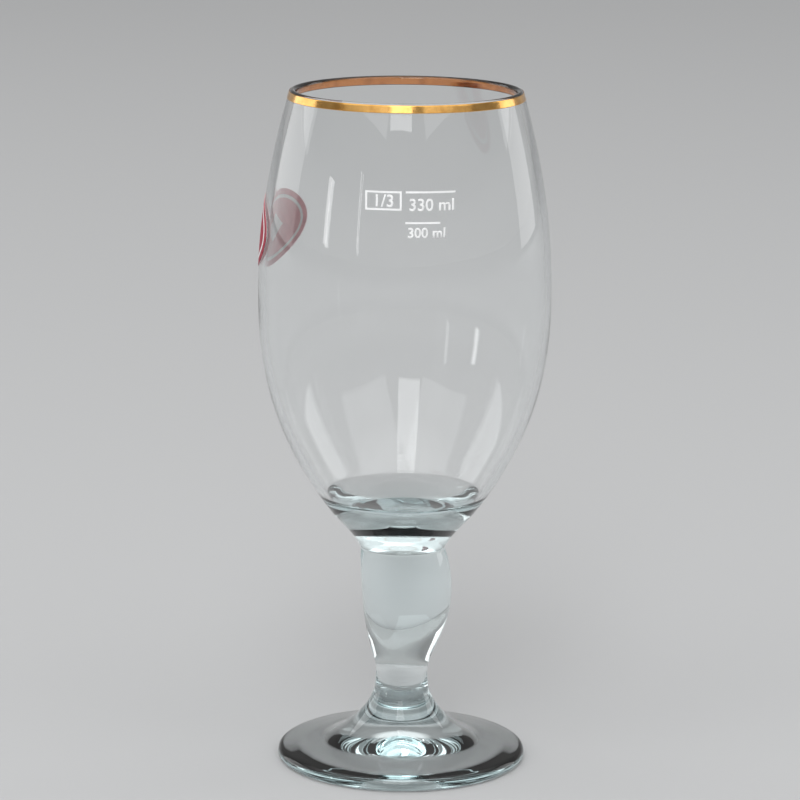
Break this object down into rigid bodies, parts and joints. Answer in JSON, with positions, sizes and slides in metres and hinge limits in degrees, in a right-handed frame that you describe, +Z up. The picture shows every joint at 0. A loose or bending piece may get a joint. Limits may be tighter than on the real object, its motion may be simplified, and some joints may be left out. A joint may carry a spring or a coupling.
{
  "type": "chalice beer glass",
  "caption": "Clear tulip-bowled beer glass on a short knopped stem and round foot, with a gilt rim band, a printed capacity scale and a red oval badge.",
  "frame": {"origin": "centre of the resting ring's plane, on the glass's upright axis", "axes": "+Z up the glass's axis; -Y towards the capacity scale; -X towards the badge"},
  "size_m": [0.079, 0.079, 0.185],
  "materials": {
    "clear_glass": "clear polished soda-lime glass with a faint blue-green tint where it is thick",
    "gilding": "bright fired gold, slightly rubbed",
    "white_enamel": "fired white enamel print, half gloss",
    "red_enamel": "fired crimson enamel print, half gloss"
  },
  "bodies": {
    "root": {"bowl": "clear_glass", "stem": "clear_glass", "foot": "clear_glass", "rim_band": "gilding", "fill_line": "white_enamel", "lower_line": "white_enamel", "scale_frame": "white_enamel", "badge_field": "red_enamel", "badge_ring": "white_enamel", "badge_lozenge": "white_enamel"}
  },
  "joints": []
}
